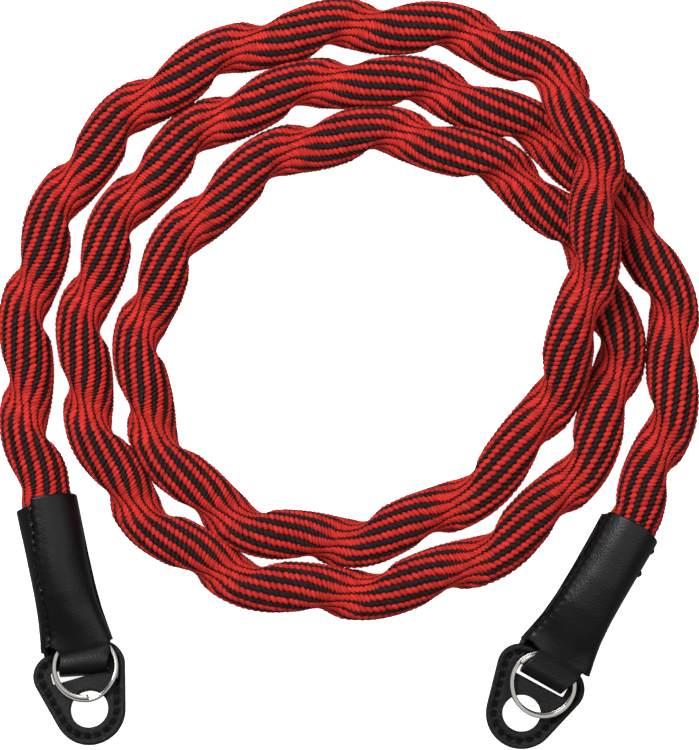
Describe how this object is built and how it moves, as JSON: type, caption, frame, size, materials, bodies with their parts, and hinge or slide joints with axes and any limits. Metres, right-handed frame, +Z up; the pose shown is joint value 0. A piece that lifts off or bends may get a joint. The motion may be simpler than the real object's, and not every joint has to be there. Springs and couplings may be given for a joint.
{
  "type": "braided camera strap",
  "caption": "Braided round camera strap laid down in loose coils, with a leather sleeve, a split ring and a leather ring guard at each end.",
  "frame": {"origin": "on the floor under the middle of the strap's footprint", "axes": "+Z up from the floor; +Y from the two leather ends towards the far side of the coils; +X from the left end to the right end"},
  "size_m": [0.153, 0.1648, 0.0244],
  "materials": {
    "braid": "matt red and black braided yarn",
    "sleeve_leather": "smooth black leather with a soft sheen",
    "guard_leather": "matt black leather, stitched round the edge",
    "ring_steel": "bright nickelled steel wire"
  },
  "bodies": {
    "root": {"strap_cord": "braid", "left_sleeve": "sleeve_leather", "right_sleeve": "sleeve_leather", "left_ring_guard": "guard_leather", "right_ring_guard": "guard_leather", "left_split_ring": "ring_steel", "right_split_ring": "ring_steel"}
  },
  "joints": []
}
